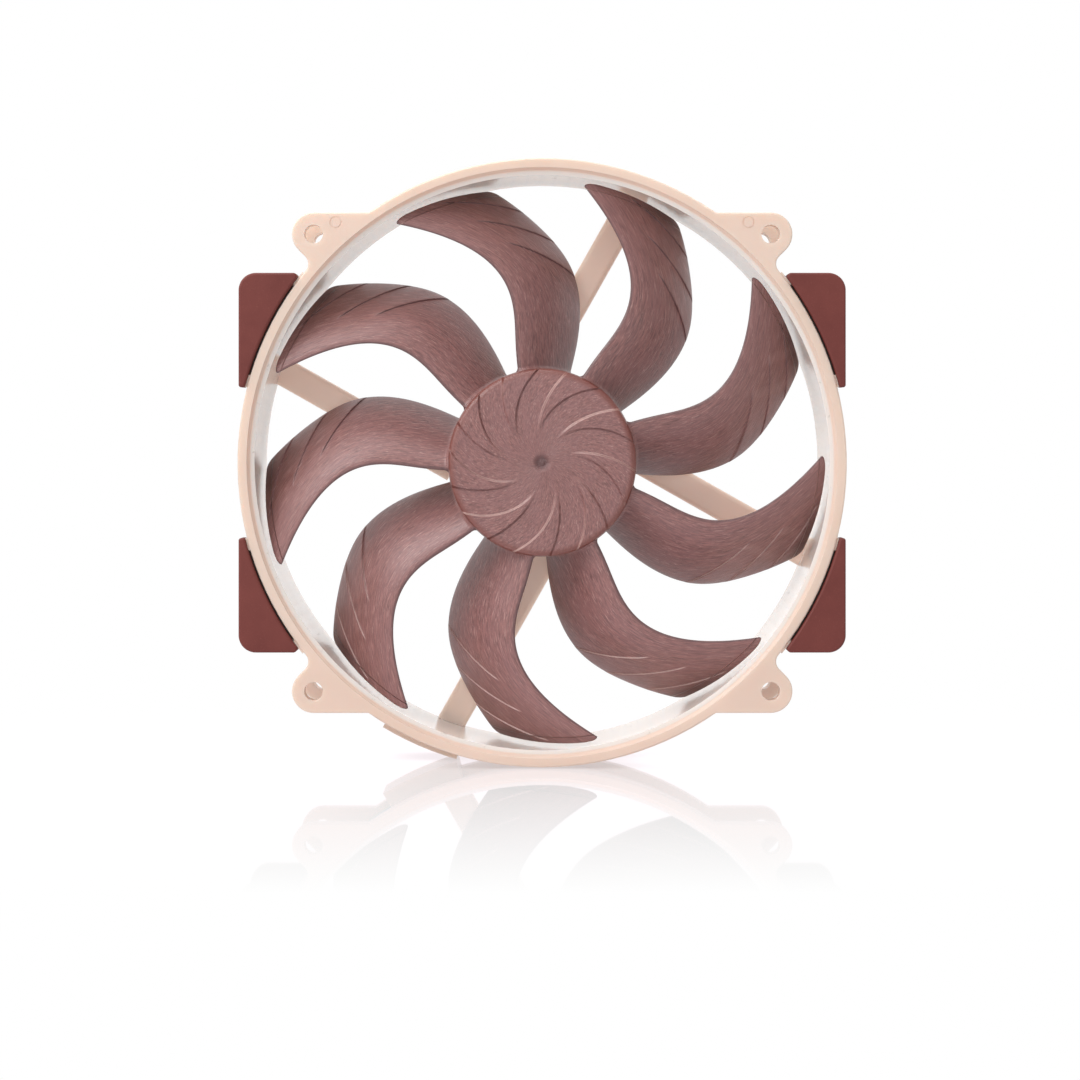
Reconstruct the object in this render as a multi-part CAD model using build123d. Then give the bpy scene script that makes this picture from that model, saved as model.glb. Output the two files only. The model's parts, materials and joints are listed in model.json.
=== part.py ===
from build123d import *
from math import acos, asin, atan2, cos, degrees, hypot, pi, radians, sin, sqrt, tan
import os

# A round-frame 140 mm case fan with four-hole ears on the 105 mm pattern of a 120 mm fan.
# Frame: millimetres, +Z up, the rotor turns about Y, the intake face looks along -Y.
# Origin: on the rotor axis, half way through the frame's depth.
# Angles are in degrees in the front view, from +X towards +Z.

# ---- driving dimensions -------------------------------------------------------------
FRAME_DEPTH = 25.0
FRONT = -FRAME_DEPTH / 2
REAR = FRAME_DEPTH / 2
RIM_RADIUS = 70.0
BORE_RADIUS = 66.2
HOLE_SPACING = 105.0
HOLE_RADIUS = 2.15
HUB_RADIUS = 21.7
TIP_RADIUS = 65.5
BLADE_COUNT = 9
SHAFT_RADIUS = 1.5

# ---- frame --------------------------------------------------------------------------
FLANGE = 3.5  # thickness of each flange and its ears
BARREL_RADIUS = 67.9  # outside of the wall between the flanges
EDGE = 0.4
STEP_DEPTH = 0.9  # the stepped inlet: a bevel, then a narrow ledge
STEP_OUTER = 68.4
STEP_INNER = 67.3
OUTLET_FLARE = 1.2
EAR_RADIUS = 5.0
NOTCH_FILLET = 2.4
MARK_RADIUS = 1.4  # ejector-pin marks on the two upper front ears
MARK_DEPTH = 0.12

# ---- motor base and struts ----------------------------------------------------------
BASE_RADIUS = 21.5
BASE_INNER = 20.0
BASE_FRONT = 7.8
FLOOR_FRONT = 10.9
LABEL_RADIUS = 18.8
LABEL_RECESS = 0.25
BOSS_RADIUS = 6.4
BOSS_FRONT = 9.8
STRUT_ANGLES = [60.5, 150.5, 240.5, 330.5]
STRUT_OFFSET = 11.85  # each strut passes this far to the left of the axis
STRUT_WIDTH = 6.7
STRUT_FRONT = 8.9
STRUT_EDGE = 1.2

# ---- cable way ----------------------------------------------------------------------
CABLE_ANGLE = 240.5  # the strut that carries the cable
CHANNEL_WIDTH = 5.0
GUIDE_START = 239.0
GUIDE_END = 253.9
GUIDE_RADIUS = 72.8
GUIDE_WALL = 1.0
GUIDE_FRONT = 0.0
WIRE_RADIUS = 0.52
WIRE_PITCH = 1.2
WIRE_DEPTH = 11.65
WIRE_BEND = 1.2
GUTTER_BEND = 2.0
GUTTER_RADIUS = BARREL_RADIUS + WIRE_RADIUS + 0.1
GUTTER_DEPTH = 3.92  # middle of the four wires in the gutter
GUTTER_END = 43.0
PLUG_ANGLE = 30.0
PLUG_SIZE = (5.8, 10.4, 12.0)  # radial, axial, along the rim
PLUG_PITCH = 2.54
PLUG_RADIUS = 71.5

# ---- pads ---------------------------------------------------------------------------
PAD_SIDE = 69.7
PAD_TOP = 43.6
PAD_BOTTOM = 17.3
PAD_GAP = 0.45
PAD_PROUD = 0.5
PAD_THICKNESS = 4.5
PAD_WALL = 1.6
PAD_EDGE = 0.55
TONGUE_FRONT = 1.5  # behind the flange face
TONGUE_THICKNESS = 1.5
PAD_CLEARANCE = 0.05
LUG_HEIGHT = 2.8

# ---- rotor --------------------------------------------------------------------------
HUB_FRONT = -12.2
HUB_DOME = 0.3
HUB_EDGE = 1.5
HUB_WALL = 1.5
HUB_REAR = 7.0
VANE_TOP = -12.14  # flat tops, so each vane fades into the dome towards the centre
VANE_MIDDLE = 64.0
VANE_WIDTH = 20.0
VANE_SWIRL = 30.0
VANE_INNER = 8.0
YOKE_WALL = 0.9
MAGNET_THICKNESS = 3.0
MAGNET_FRONT = -8.0
MAGNET_REAR = 5.5
BUSHING_RADIUS = 3.6
SHAFT_FRONT = -10.8
SHAFT_REAR = 8.6

# Blade stations: radius, leading angle, trailing angle. The blade sweeps forward, so both
# edges swing towards the direction of rotation as the radius grows.
BLADE_STATIONS = [
    (20.0, 64.9, 32.7),
    (27.0, 62.6, 33.4),
    (34.0, 60.6, 35.0),
    (41.0, 61.0, 37.9),
    (48.0, 64.9, 42.7),
    (55.0, 71.5, 49.8),
    (62.0, 78.8, 57.0),
    (69.0, 85.6, 63.9),
]
BLADE_FRONT = -10.0
BLADE_REAR = 6.6
BLADE_CAMBER = 0.16  # of the axial depth
BLADE_ROOT_THICKNESS = 1.9
BLADE_TIP_THICKNESS = 1.3
CHORD_SHARES = [0.0, 0.06, 0.25, 0.5, 0.75, 0.94, 1.0]

# ---- bearing and stator -------------------------------------------------------------
SHELL_RADIUS = 4.4
SHELL_BORE = 3.2
SHELL_FRONT = -7.5
SHELL_REAR = 12.2
SLEEVE_CLEARANCE = 0.02
SLEEVE_REAR = 5.5
SEAL_THICKNESS = 0.6
STATOR_RADIUS = 15.8
STATOR_FRONT = -5.0
STATOR_REAR = 2.0
STATOR_HUB = 6.3
TOOTH_WIDTH = 3.2
SHOE_INNER = 13.6
SHOE_HALF_ANGLE = 38.0
INSULATION = 0.5
BOARD_RADIUS = 18.8
BOARD_BORE = 5.0
BOARD_FRONT = 8.6
BOARD_REAR = 9.6


# ---- helpers ------------------------------------------------------------------------
def slab(outline, front, rear):
    """A front-view outline given depth, from front to rear along Y."""
    return extrude(Plane.XZ.offset(-rear) * outline, amount=rear - front)


def tube(outer, inner, front, rear):
    """A ring or, with no inner radius, a disc about the rotor axis."""
    outline = Circle(outer) - Circle(inner) if inner else Circle(outer)
    return slab(outline, front, rear)


def turned(points):
    """A solid of revolution about Y from (radius, depth) points."""
    return revolve(make_face(Polyline(*points, close=True)), Axis.Y)


def polar(radius, angle, depth=0.0):
    """A point on the part from its front-view radius and angle."""
    return (radius * cos(radians(angle)), depth, radius * sin(radians(angle)))


def flat(radius, angle):
    """The same point in a front-view outline."""
    return (radius * cos(radians(angle)), radius * sin(radians(angle)))


def sector(outer, inner, start, end):
    """A front-view ring sector between two angles."""
    wedge = make_face(Polyline((0, 0), flat(2 * outer, start), flat(2 * outer, end), close=True))
    return (Circle(outer) - Circle(inner)) & wedge


def four_ways(outline):
    """An outline in the first quadrant, mirrored into all four."""
    half = outline + mirror(outline, Plane.YZ)
    return half + mirror(half, Plane.XZ)


def turn(shape, angle):
    """A solid turned about the rotor axis, positive from +X towards +Z."""
    return shape.rotate(Axis.Y, -angle)


def along(angle, reach, offset, depth):
    """A point reach out along a direction, offset to its left, at a depth."""
    c, s = cos(radians(angle)), sin(radians(angle))
    return (reach * c - offset * s, depth, reach * s + offset * c)


# ---- frame --------------------------------------------------------------------------
def rim_and_ears():
    """Front-view outline of a flange: the round rim with its four ears."""
    hole = HOLE_SPACING / 2
    top = hole + EAR_RADIUS
    tangent = EAR_RADIUS * sqrt(0.5)
    reach = 3.2  # takes the slanting side of the ear into the rim
    ear = make_face(
        Polyline(
            (hole, top),
            (sqrt(RIM_RADIUS**2 - top**2) - 2.0, top),
            (hole - 14.0, hole - 8.0),
            (hole + tangent - reach - 1.0, hole - tangent - reach - 1.0),
            (hole + tangent, hole - tangent),
            close=True,
        )
    )
    ear += Pos(hole, hole) * Circle(EAR_RADIUS)
    outline = Circle(RIM_RADIUS) + four_ways(ear)
    side = hole + tangent - reach
    notch = (side, hole - tangent - reach)
    corners = [v for v in outline.vertices() if hypot(abs(v.X) - notch[0], abs(v.Y) - notch[1]) < 1.0]
    return fillet(corners, NOTCH_FILLET)


def pad_outline(side, top, bottom, clear, corner):
    """Right upper pad seen from the front: between the rim and a flat side."""
    middle = ((side + 50.0) / 2, (top + bottom) / 2)
    block = Pos(*middle) * Rectangle(side - 50.0, top - bottom)
    shape = block - Circle(clear)
    outer = [v for v in shape.vertices() if v.X > side - 0.1 and v.Y > top - 0.1]
    return fillet(outer, corner)


def tongue_outline(clearance=0.0):
    """The thin plate on the flange that a pad slips over."""
    edge = PAD_WALL - clearance
    return pad_outline(PAD_SIDE - edge, PAD_TOP - edge, PAD_BOTTOM + 2 * edge, BARREL_RADIUS, 3.0)


def flange(face, inward):
    """One flange: rim, ears, pad tongues and the lugs that seat the pads. inward is +1 or -1."""
    plate = slab(rim_and_ears() - Circle(BARREL_RADIUS), *sorted((face, face + inward * FLANGE)))
    rim_edges = plate.faces().sort_by(Axis.Y)[0 if inward > 0 else -1].outer_wire().edges()
    plate = fillet(rim_edges, EDGE)
    tongue = face + inward * TONGUE_FRONT
    plate += slab(four_ways(tongue_outline()), *sorted((tongue, tongue + inward * TONGUE_THICKNESS)))
    lug = face + inward * EDGE
    for low in (PAD_BOTTOM, PAD_TOP - LUG_HEIGHT):
        start = degrees(asin(low / RIM_RADIUS))
        end = degrees(asin((low + LUG_HEIGHT) / RIM_RADIUS))
        seat = sector(RIM_RADIUS + PAD_GAP - PAD_CLEARANCE, BARREL_RADIUS, start, end)
        plate += slab(four_ways(seat), *sorted((lug, face + inward * FLANGE)))
    holes = GridLocations(HOLE_SPACING, HOLE_SPACING, 2, 2) * Circle(HOLE_RADIUS)
    return plate - slab(Sketch() + holes, -FRAME_DEPTH, FRAME_DEPTH)


def barrel():
    """The round wall with its stepped inlet and flared outlet."""
    ledge = FRONT + STEP_DEPTH
    return turned(
        [
            (STEP_OUTER, FRONT),
            (RIM_RADIUS - EDGE, FRONT),
            (RIM_RADIUS - EDGE, FRONT + FLANGE),
            (BARREL_RADIUS, FRONT + FLANGE),
            (BARREL_RADIUS, REAR - FLANGE),
            (RIM_RADIUS - EDGE, REAR - FLANGE),
            (RIM_RADIUS - EDGE, REAR),
            (BORE_RADIUS + OUTLET_FLARE, REAR),
            (BORE_RADIUS, REAR - OUTLET_FLARE),
            (BORE_RADIUS, ledge + 0.3),
            (STEP_INNER, ledge),
        ]
    )


def strut(angle):
    """A flat arm from the motor base to the wall, with rounded front edges."""
    length = sqrt((BORE_RADIUS + 0.5) ** 2 - (STRUT_OFFSET - STRUT_WIDTH / 2) ** 2)
    start = sqrt(BASE_INNER**2 - STRUT_OFFSET**2) + 1.5
    section = Plane(
        origin=along(angle, start, STRUT_OFFSET, (STRUT_FRONT + REAR) / 2),
        x_dir=along(angle, 0, 1, 0),
        z_dir=along(angle, 1, 0, 0),
    )
    profile = Rectangle(STRUT_WIDTH, REAR - STRUT_FRONT)
    bar = extrude(section * profile, amount=length - start)
    front_edges = bar.faces().sort_by(Axis.Y)[0].edges().filter_by(lambda e: e.length > 2 * STRUT_WIDTH)
    return fillet(front_edges, STRUT_EDGE) & tube(BORE_RADIUS + 0.5, BASE_INNER + 0.2, FRONT, REAR)


def motor_base():
    """The shallow cup behind the hub that holds the board, the stator and the bearing."""
    cup = tube(BASE_RADIUS, BASE_INNER, BASE_FRONT, REAR)
    cup = fillet(cup.faces().sort_by(Axis.Y)[-1].outer_wire().edges(), EDGE)
    cup += tube(BASE_INNER + 0.2, 0, FLOOR_FRONT, REAR)
    cup += tube(BOSS_RADIUS, 0, BOSS_FRONT, FLOOR_FRONT)
    for angle in (0.0, 120.0, 330.0):
        cup += slab(Pos(*flat(16.0, angle)) * Circle(1.2), BOARD_REAR, FLOOR_FRONT)
    cup -= tube(LABEL_RADIUS + 0.2, 0, REAR - LABEL_RECESS, REAR)
    return cup - tube(SHELL_RADIUS, 0, BASE_FRONT, REAR)


def channel_box(near, far, width, front, rear):
    """A straight-sided block along the cable strut."""
    middle = along(CABLE_ANGLE, (near + far) / 2, STRUT_OFFSET, (front + rear) / 2)
    place = Plane(origin=middle, x_dir=along(CABLE_ANGLE, 1, 0, 0), z_dir=(0, 1, 0))
    return place * Box(far - near, width, rear - front)


def frame():
    """Both flanges, the wall, the struts, the motor base and the cable way, moulded in one piece."""
    body = barrel() + flange(FRONT, 1) + flange(REAR, -1) + motor_base()
    for angle in STRUT_ANGLES:
        body += strut(angle)
    body += slab(sector(GUIDE_RADIUS, BARREL_RADIUS - 0.2, GUIDE_START, GUIDE_END), GUIDE_FRONT, REAR)
    inside = sector(GUIDE_RADIUS - GUIDE_WALL, BARREL_RADIUS, GUIDE_START - 1, GUIDE_END - 1)
    body -= slab(inside, GUIDE_FRONT + GUIDE_WALL, REAR - FLANGE)
    guide_reach = sqrt((GUIDE_RADIUS - GUIDE_WALL) ** 2 - (STRUT_OFFSET + CHANNEL_WIDTH / 2) ** 2)
    body -= channel_box(11.0, BORE_RADIUS, CHANNEL_WIDTH, FLOOR_FRONT - 0.1, REAR + 1)
    body -= channel_box(11.0, 15.0, CHANNEL_WIDTH, BASE_FRONT + 1, REAR + 1) & tube(BASE_INNER, 0, 8, 14)
    body -= channel_box(63.0, guide_reach, CHANNEL_WIDTH, REAR - FLANGE, REAR + 1)
    hole = HOLE_SPACING / 2
    for side in (-1, 1):
        mark = Pos(side * (hole - 5.1), hole + 2.7) * (Circle(MARK_RADIUS) - Circle(MARK_RADIUS - 0.3))
        body -= slab(mark, FRONT, FRONT + MARK_DEPTH)
    return body


# ---- pads ---------------------------------------------------------------------------
def pads():
    """The eight soft corner pads, each slipped over its tongue."""
    outline = pad_outline(PAD_SIDE, PAD_TOP, PAD_BOTTOM, RIM_RADIUS + PAD_GAP, 4.0)
    small = [v for v in outline.vertices() if v.X < PAD_SIDE - 6.0 and v.Y > PAD_TOP - 0.1]
    outline = fillet(small, 0.9)
    low = [v for v in outline.vertices() if v.Y < PAD_BOTTOM + 0.1]
    outline = fillet(low, 0.6)
    face = FRONT - PAD_PROUD
    pad = slab(outline, face, face + PAD_THICKNESS)
    outside = pad.faces().sort_by(Axis.Y)[0].outer_wire().edges()
    outside = [e for e in outside if hypot((e @ 0.5).X, (e @ 0.5).Z) > RIM_RADIUS + PAD_GAP + 0.01]
    pad = fillet(outside, PAD_EDGE)
    tongue = FRONT + TONGUE_FRONT
    pocket = slab(
        tongue_outline(PAD_CLEARANCE),
        tongue - PAD_CLEARANCE,
        tongue + TONGUE_THICKNESS + PAD_CLEARANCE,
    )
    pad -= pocket
    made = {}
    for depth_name, depth_plane in (("front", None), ("rear", Plane.XZ)):
        for side_name, side_plane in (("right", None), ("left", Plane.YZ)):
            for height_name, height_plane in (("upper", None), ("lower", Plane.XY)):
                one = pad
                for plane in (depth_plane, side_plane, height_plane):
                    one = mirror(one, plane) if plane else one
                made[f"{depth_name}_pad_{height_name}_{side_name}"] = one
    return made


# ---- impeller -----------------------------------------------------------------------
def blade_section(radius, leading, trailing):
    """A closed section in the plane square to the blade's middle radius."""
    half = radians(leading - trailing) / 2
    middle = (leading + trailing) / 2
    share = (radius - HUB_RADIUS) / (TIP_RADIUS - HUB_RADIUS)
    thickness = BLADE_ROOT_THICKNESS + share * (BLADE_TIP_THICKNESS - BLADE_ROOT_THICKNESS)
    plane = Plane(
        origin=polar(radius * cos(half), middle),
        x_dir=polar(1.0, middle + 90),
        z_dir=polar(1.0, middle),
    )
    front_side, rear_side = [], []
    for share in CHORD_SHARES:
        tangential = radius * sin(half) * (1 - 2 * share)
        bow = 4 * share * (1 - share)
        depth = BLADE_FRONT + (BLADE_REAR - BLADE_FRONT) * (share - BLADE_CAMBER * bow)
        slope = (BLADE_REAR - BLADE_FRONT) * (1 - BLADE_CAMBER * 4 * (1 - 2 * share))
        run = -2 * radius * sin(half)
        norm = hypot(slope, run)
        across = (slope / norm, -run / norm)
        half_thick = thickness / 2 * (0.35 + 0.65 * bow**0.5 - 0.1 * share)
        front_side.append((tangential - across[0] * half_thick, depth - across[1] * half_thick))
        rear_side.append((tangential + across[0] * half_thick, depth + across[1] * half_thick))
    # local y of the section plane runs along -Y, towards the intake
    front_side = [(t, -d) for t, d in front_side]
    rear_side = [(t, -d) for t, d in rear_side]
    front_curve = Edge.make_spline(front_side, parameters=CHORD_SHARES)
    rear_curve = Edge.make_spline(rear_side, parameters=CHORD_SHARES)
    trailing_end = Line(front_side[-1], rear_side[-1])
    leading_end = Line(front_side[0], rear_side[0])
    return plane * make_face([front_curve, trailing_end.edge(), rear_curve, leading_end.edge()])


def hub_vane():
    """One of the low swirl vanes on the hub's face, one for each blade."""
    outer = HUB_RADIUS - HUB_EDGE - 0.2
    tip = flat(VANE_INNER, VANE_MIDDLE + VANE_SWIRL)
    right, left = VANE_MIDDLE - VANE_WIDTH / 2, VANE_MIDDLE + VANE_WIDTH / 2
    bend = (outer + VANE_INNER) / 2
    right_bend = flat(bend, right + 0.47 * (VANE_WIDTH / 2 + VANE_SWIRL))
    left_bend = flat(bend, left + 0.55 * (VANE_SWIRL - VANE_WIDTH / 2))
    sides = [
        ThreePointArc(flat(outer, right), right_bend, tip).edge(),
        ThreePointArc(flat(outer, left), left_bend, tip).edge(),
        ThreePointArc(flat(outer, right), flat(outer, VANE_MIDDLE), flat(outer, left)).edge(),
    ]
    return slab(make_face(sides), VANE_TOP, HUB_FRONT + 1.0)


def impeller():
    """Hub cup and nine forward-swept blades, moulded in one piece."""
    top = HUB_FRONT + HUB_DOME
    inner = HUB_RADIUS - HUB_WALL
    face = ThreePointArc((0, HUB_FRONT), (HUB_RADIUS / 2, HUB_FRONT + HUB_DOME / 4), (HUB_RADIUS, top))
    rest = Polyline(
        (HUB_RADIUS, top),
        (HUB_RADIUS, HUB_REAR),
        (inner, HUB_REAR),
        (inner, SHAFT_FRONT),
        (0, SHAFT_FRONT),
        (0, HUB_FRONT),
    )
    hub = revolve(make_face(face + rest), Axis.Y)
    rim_edge = [e for e in hub.edges() if abs(e.center().Y - top) < 0.05 and e.length > 2 * pi * 20]
    hub = fillet(rim_edge, HUB_EDGE)
    for index in range(BLADE_COUNT):
        hub += turn(hub_vane(), index * 360 / BLADE_COUNT)
    floor = HUB_FRONT + 0.7
    dimple = turned([(0, HUB_FRONT - 1), (1.3, HUB_FRONT - 1), (0.9, floor), (0, floor)])
    blade = loft([blade_section(*station) for station in BLADE_STATIONS])
    blade &= tube(TIP_RADIUS, HUB_RADIUS - HUB_WALL / 2, FRONT, REAR)
    body = hub - dimple
    for index in range(BLADE_COUNT):
        body += turn(blade, index * 360 / BLADE_COUNT)
    return body


# ---- rest of the rotor --------------------------------------------------------------
def rotor_yoke():
    """The steel cup inside the hub, with a hole for the bushing."""
    outer = HUB_RADIUS - HUB_WALL
    inner = outer - YOKE_WALL
    back = SHAFT_FRONT + 1.0
    cup = tube(outer, inner, SHAFT_FRONT, HUB_REAR - 1.0) + tube(outer, 0, SHAFT_FRONT, back)
    vents = Sketch() + PolarLocations(11.0, 6) * Circle(1.6)
    return cup - tube(BUSHING_RADIUS, 0, SHAFT_FRONT, back) - slab(vents, SHAFT_FRONT, back)


def rotor_magnet():
    """The ring magnet inside the yoke."""
    outer = HUB_RADIUS - HUB_WALL - YOKE_WALL
    return tube(outer, outer - MAGNET_THICKNESS, MAGNET_FRONT, MAGNET_REAR)


def shaft():
    """Hardened pin with a domed foot and a groove for the retaining clip."""
    tip = SHAFT_RADIUS * 0.5
    return turned(
        [
            (0, SHAFT_FRONT),
            (SHAFT_RADIUS - 0.2, SHAFT_FRONT),
            (SHAFT_RADIUS, SHAFT_FRONT + 0.2),
            (SHAFT_RADIUS, 6.8),
            (1.1, 6.8),
            (1.1, 7.4),
            (SHAFT_RADIUS, 7.4),
            (SHAFT_RADIUS, SHAFT_REAR - 0.6),
            (tip, SHAFT_REAR),
            (0, SHAFT_REAR),
        ]
    )


def retaining_clip():
    """A split washer in the shaft groove, which keeps the rotor in the bearing."""
    slot = Pos(2, 0) * Rectangle(4, 1.5)
    return slab(Circle(2.7) - Circle(1.1) - slot, 6.9, 7.3)


# ---- bearing ------------------------------------------------------------------------
def bearing_shell():
    """The brass tube that holds the sleeve, with a lead-in at the rear."""
    lead_in = turned(
        [
            (SHELL_BORE, SHELL_REAR - 1.2),
            (SHELL_BORE + 0.4, SHELL_REAR),
            (SHELL_BORE, SHELL_REAR),
        ]
    )
    return tube(SHELL_RADIUS, SHELL_BORE, SHELL_FRONT, SHELL_REAR) - lead_in


def bearing_sleeve():
    """The porous sleeve that the shaft turns in."""
    front = SHELL_FRONT + SEAL_THICKNESS + 0.1
    return tube(SHELL_BORE, SHAFT_RADIUS + SLEEVE_CLEARANCE, front, SLEEVE_REAR)


# ---- stator -------------------------------------------------------------------------
def cross(tooth_width, hub, shoe_inner, shoe_outer, half_angle):
    """Front-view outline of four teeth with curved shoes on a hub."""
    outline = Circle(hub)
    for angle in (0, 90, 180, 270):
        arm = Pos(shoe_inner / 2 + 0.2, 0) * Rectangle(shoe_inner + 0.4, tooth_width)
        shoe = sector(shoe_outer, shoe_inner, -half_angle, half_angle)
        outline += Rot(0, 0, angle) * (arm + shoe)
    return outline - Circle(SHELL_RADIUS)


def stator_core():
    """Four teeth on a hub, pressed on the bearing shell."""
    return slab(
        cross(TOOTH_WIDTH, STATOR_HUB, SHOE_INNER, STATOR_RADIUS, SHOE_HALF_ANGLE),
        STATOR_FRONT,
        STATOR_REAR,
    )


def insulator(face, outward):
    """A moulded end cover on the stator: plate, coil fence and slot liners. outward is +1 or -1."""
    width, shoe_angle = TOOTH_WIDTH + 2 * INSULATION, SHOE_HALF_ANGLE - 3
    plate = cross(width, STATOR_HUB + 0.4, SHOE_INNER - 0.6, STATOR_RADIUS - 0.6, shoe_angle)
    cover = slab(plate, *sorted((face, face + outward * 0.8)))
    fence = Sketch()
    for angle in (0, 90, 180, 270):
        fence += Rot(0, 0, angle) * sector(SHOE_INNER + 0.2, SHOE_INNER - 0.6, -20, 20)
    cover += slab(fence, *sorted((face, face + outward * 2.6)))
    middle = (STATOR_FRONT + STATOR_REAR) / 2 + outward * 0.1  # 0.2 mm between the two covers
    liner = Sketch()
    for angle in (0, 90, 180, 270):
        for side in (-1, 1):
            middle_z = side * (TOOTH_WIDTH + INSULATION) / 2
            liner += Rot(0, 0, angle) * Pos(9.9, middle_z) * Rectangle(6.0, INSULATION)
    return cover + slab(liner, *sorted((middle, face)))


def coil():
    """One coil round the tooth that points along +X."""
    front, rear = STATOR_FRONT - 0.8, STATOR_REAR + 0.8
    height, width = rear - front, TOOTH_WIDTH + 2 * INSULATION
    inner = Rectangle(width + 0.04, height + 0.04)
    outer = RectangleRounded(width + 4.8, height + 4.4, 2.2)
    place = Plane(origin=(7.4, (front + rear) / 2, 0), x_dir=(0, 0, 1), z_dir=(1, 0, 0))
    return extrude(place * (outer - inner), amount=4.6)


def coil_windings():
    """The four coils."""
    return Compound([turn(coil(), angle) for angle in (0, 90, 180, 270)])


PIN_PLACES = [flat(14.3, angle) for angle in (30, 120, 210)]


def winding_pins():
    """Pins that carry the coil ends through the board."""
    front, rear = STATOR_REAR + 0.8, BOARD_REAR + 0.5
    return Compound([slab(Pos(*place) * Circle(0.35), front, rear) for place in PIN_PLACES])


# ---- board --------------------------------------------------------------------------
def circuit_board():
    """A ring round the bearing boss, with holes for the pins."""
    outline = Circle(BOARD_RADIUS) - Circle(BOARD_BORE)
    for place in PIN_PLACES:
        outline -= Pos(*place) * Circle(0.4)
    return slab(outline, BOARD_FRONT, BOARD_REAR)


def driver_chip():
    """Motor driver with its Hall sensor, under the edge of the magnet, and its six legs."""
    body = Pos(-14.5, BOARD_FRONT - 0.65, 0) * Box(2.9, 1.0, 2.9)
    body = fillet(body.edges().filter_by(Axis.Y), 0.1)
    for side in (-1, 1):
        for step in (-0.95, 0.0, 0.95):
            foot = Pos(-14.5 + side * 1.75, BOARD_FRONT - 0.075, step) * Box(0.7, 0.15, 0.4)
            leg = Pos(-14.5 + side * 1.5, BOARD_FRONT - 0.35, step) * Box(0.15, 0.6, 0.4)
            body += foot + leg
    return body


def board_components():
    """Small resistors and capacitors and one diode on the front of the board."""
    made = []
    for angle, radius in ((150, 13), (165, 10), (195, 10), (60, 13), (75, 11), (285, 13), (300, 11)):
        chip = Box(1.6, 0.5, 0.8)
        made.append(turn(Pos(radius, BOARD_FRONT - 0.25, 0) * chip, angle))
    diode = fillet(Box(2.6, 1.0, 1.6).edges().filter_by(Axis.Y), 0.1)
    made.append(turn(Pos(12.5, BOARD_FRONT - 0.5, 0) * diode, 240))
    return Compound(made)


# ---- cable --------------------------------------------------------------------------
def rounded_path(points, radii):
    """Straight edges through the points, with an arc of the given radius at each inner point."""
    points = [Vector(*point) for point in points]
    edges = []
    start = points[0]
    for before, corner, after, radius in zip(points, points[1:], points[2:], radii):
        arrive = (corner - before).normalized()
        leave = (after - corner).normalized()
        half_turn = acos(arrive.dot(leave)) / 2
        arc_start = corner - arrive * (radius * tan(half_turn))
        arc_end = corner + leave * (radius * tan(half_turn))
        arc_middle = corner + (leave - arrive).normalized() * (radius / cos(half_turn) - radius)
        edges.append(Line(start, arc_start).edge())
        edges.append(ThreePointArc(arc_start, arc_middle, arc_end).edge())
        start = arc_end
    if (points[-1] - start).length > 1e-6:
        edges.append(Line(start, points[-1]).edge())
    return edges


def wire(index):
    """One of the four wires: board, strut channel, guide, gutter round the wall, plug."""
    step = (index - 1.5) * WIRE_PITCH
    offset = STRUT_OFFSET + step
    depth = GUTTER_DEPTH - step
    lean = asin(offset / hypot(GUTTER_RADIUS, GUTTER_BEND)) - atan2(GUTTER_BEND, GUTTER_RADIUS)
    reach = GUTTER_RADIUS * cos(lean) - GUTTER_BEND * sin(lean)
    gutter_start = CABLE_ANGLE + degrees(lean)
    from_board = rounded_path(
        [
            along(CABLE_ANGLE, 12.9, offset, BOARD_REAR + 0.01),
            along(CABLE_ANGLE, 12.9, offset, WIRE_DEPTH),
            along(CABLE_ANGLE, reach, offset, WIRE_DEPTH),
            along(CABLE_ANGLE, reach, offset, depth),
            polar(GUTTER_RADIUS, gutter_start, depth),
        ],
        [WIRE_BEND, WIRE_BEND, GUTTER_BEND],
    )
    gutter = ThreePointArc(
        polar(GUTTER_RADIUS, gutter_start, depth),
        polar(GUTTER_RADIUS, (gutter_start + GUTTER_END) / 2, depth),
        polar(GUTTER_RADIUS, GUTTER_END, depth),
    )
    plug_depth = (1.5 - index) * PLUG_PITCH
    leave = Vector(*polar(GUTTER_RADIUS, GUTTER_END, depth)) + Vector(*polar(2.0, GUTTER_END - 90))
    to_plug = rounded_path(
        [
            polar(GUTTER_RADIUS, GUTTER_END, depth),
            leave,
            plug_point(PLUG_SIZE[2] / 2 + 2.0, plug_depth),
            plug_point(PLUG_SIZE[2] / 2, plug_depth),
        ],
        [3.0, 3.0],
    )
    path = Wire(from_board + [gutter.edge()] + to_plug)
    return sweep(Plane(origin=path @ 0, z_dir=path % 0) * Circle(WIRE_RADIUS), path=path)


def plug_point(back, depth, radial=0.0):
    """A point on the plug: back is measured from its middle towards the wires."""
    point = Vector(*polar(PLUG_RADIUS + radial, PLUG_ANGLE, depth)) + Vector(*polar(back, PLUG_ANGLE + 90))
    return (point.X, point.Y, point.Z)


def plug_box(size, back, depth, radial=0.0):
    """A block on the plug, sized radially, axially and along the rim."""
    place = Plane(
        origin=plug_point(back, depth, radial),
        x_dir=polar(1, PLUG_ANGLE),
        z_dir=polar(1, PLUG_ANGLE + 90),
    )
    return place * Box(*size)


def connector_housing():
    """Four-way fan plug: two keying ribs outside, four through cavities inside."""
    body = plug_box(PLUG_SIZE, 0, 0)
    body = chamfer(body.edges(), 0.25)
    for depth in (-2.3, 2.3):
        body += plug_box((0.7, 1.0, PLUG_SIZE[2] - 3), -1.0, depth, PLUG_SIZE[0] / 2 + 0.3)
    for index in range(4):
        body -= plug_box((2.0, 2.0, PLUG_SIZE[2] + 1), 0, (index - 1.5) * PLUG_PITCH)
    return body


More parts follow.
